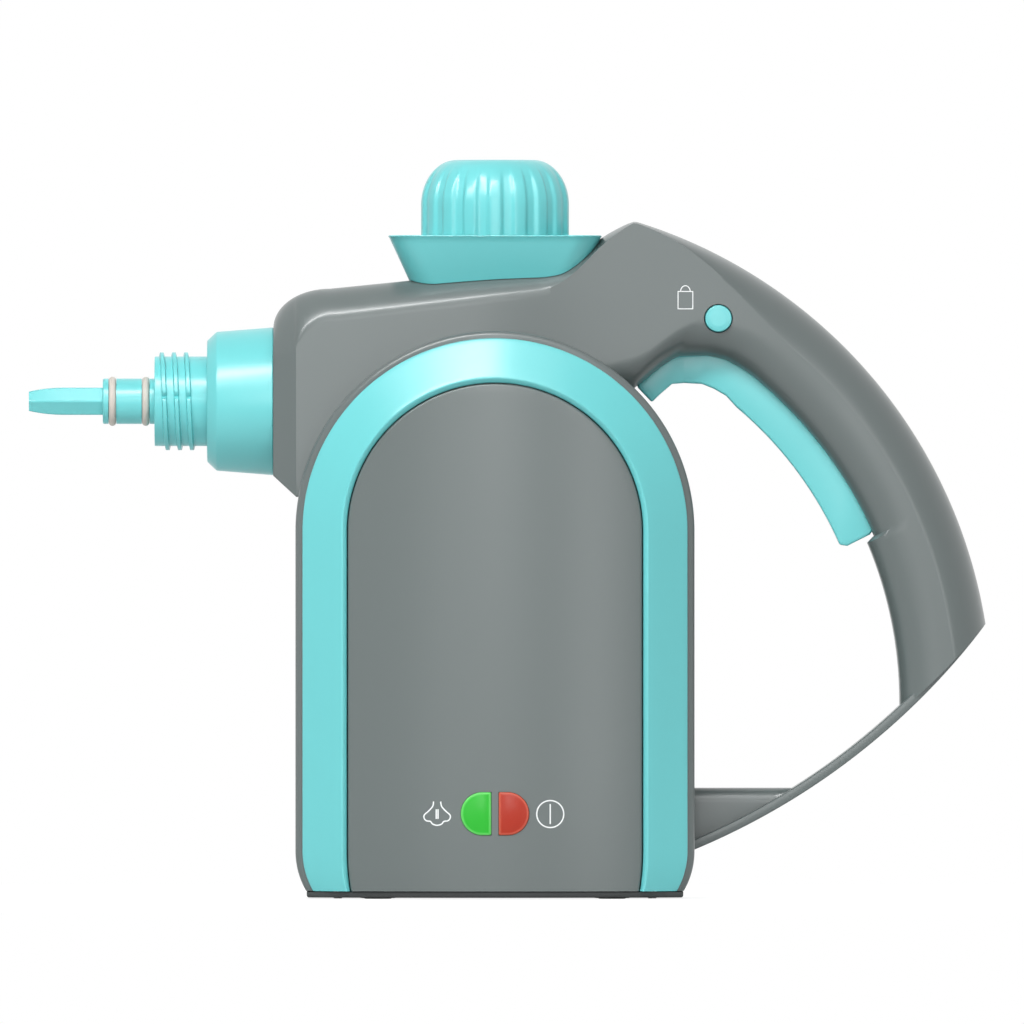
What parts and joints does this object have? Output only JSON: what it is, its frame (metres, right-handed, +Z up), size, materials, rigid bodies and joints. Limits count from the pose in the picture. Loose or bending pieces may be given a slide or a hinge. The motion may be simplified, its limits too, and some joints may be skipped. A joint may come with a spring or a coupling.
{
  "type": "handheld steam cleaner",
  "caption": "Handheld steam cleaner with arched boiler body, loop handle with trigger, square filling tray, fluted safety cap and slim threaded nozzle.",
  "frame": {"origin": "bottom centre of the whole object's box, on the surface it stands on", "axes": "+X towards the handle, -X along the nozzle, -Y towards the side with the lamps, +Z up"},
  "size_m": [0.2991, 0.114, 0.2306],
  "materials": {
    "grey_plastic": "glossy",
    "dark_plastic": "matte",
    "teal_plastic": "glossy",
    "black_rubber": "matte",
    "beige_rubber": "matte",
    "green_lens": "glossy",
    "red_lens": "glossy",
    "aluminium": "satin",
    "steel": "satin",
    "brass": "satin",
    "circuit_board": "matte",
    "silicone_tube": "satin"
  },
  "bodies": {
    "housing": {"arch_trim_left": "teal_plastic", "arch_trim_right": "teal_plastic", "base_pan": "dark_plastic", "base_screw_1": "steel", "base_screw_2": "steel", "base_screw_3": "steel", "base_screw_4": "steel", "boiler_bolt_1": "steel", "boiler_bolt_2": "steel", "boiler_bolt_3": "steel", "boiler_bolt_4": "steel", "boiler_bolt_5": "steel", "boiler_bolt_6": "steel", "boiler_lower": "aluminium", "boiler_seal": "black_rubber", "boiler_upper": "aluminium", "case_screw_1": "steel", "case_screw_2": "steel", "case_screw_3": "steel", "case_screw_4": "steel", "case_screw_5": "steel", "cord_gland": "black_rubber", "foot_1": "black_rubber", "foot_2": "black_rubber", "foot_3": "black_rubber", "foot_4": "black_rubber", "heating_element": "steel", "housing_left": "grey_plastic", "housing_right": "grey_plastic", "jet_tip": "teal_plastic", "lamp_board": "circuit_board", "lens_green": "green_lens", "lens_red": "red_lens", "nozzle_collar": "teal_plastic", "nozzle_spigot": "teal_plastic", "o_ring_front": "beige_rubber", "o_ring_rear": "beige_rubber", "steam_pipe": "silicone_tube", "terminal_block": "dark_plastic", "thermal_fuse": "steel", "thermostat": "dark_plastic", "tray": "teal_plastic", "trigger_pin": "steel", "valve_body": "brass", "valve_spring": "steel", "wire_lamps": "black_rubber", "wire_live": "black_rubber", "wire_neutral": "black_rubber"},
    "trigger": {"trigger": "teal_plastic", "trigger_spring": "steel"},
    "valve_stem": {"valve_stem": "brass"},
    "lock_bolt": {"lock_bolt": "teal_plastic"},
    "cap_seal": {"cap_seal": "black_rubber"},
    "cap": {"cap_shell": "teal_plastic", "cap_core": "dark_plastic", "relief_spring": "steel"},
    "relief_plunger": {"relief_plunger": "brass"}
  },
  "joints": [
    {"name": "trigger_pull", "type": "hinge", "parent": "housing", "child": "trigger", "pos_m": [0.05721, 0, 0.1755], "axis": [0, -1, 0], "range_deg": [0, 5.5], "stiffness_Nm_per_rad": 1, "springref_deg": -6.88},
    {"name": "valve_push", "type": "slide", "parent": "housing", "child": "valve_stem", "axis": [0, 0, -1], "range_m": [0, 0.003], "deforming": ["valve_spring"]},
    {"name": "lock_slide", "type": "slide", "parent": "housing", "child": "lock_bolt", "axis": [0, 1, 0], "range_m": [-0.003, 0]},
    {"name": "cap_lift", "type": "slide", "parent": "housing", "child": "cap_seal", "axis": [0, 0, 1], "range_m": [0, 0.008]},
    {"name": "cap_turn", "type": "hinge", "parent": "cap_seal", "child": "cap", "pos_m": [-0.00369, 0, 0.2045], "axis": [0, 0, 1], "range_deg": [0, 720]},
    {"name": "relief_slide", "type": "slide", "parent": "cap", "child": "relief_plunger", "axis": [0, 0, 1], "range_m": [0, 0.002], "stiffness_N_per_m": 200, "springref_m": -0.005, "deforming": ["relief_spring"]}
  ],
  "couplings": [
    {"joint": "valve_push", "follows": "trigger_pull", "m_per_rad": 0.0309},
    {"joint": "cap_lift", "follows": "cap_turn", "m_per_rad": 0.0006366}
  ]
}
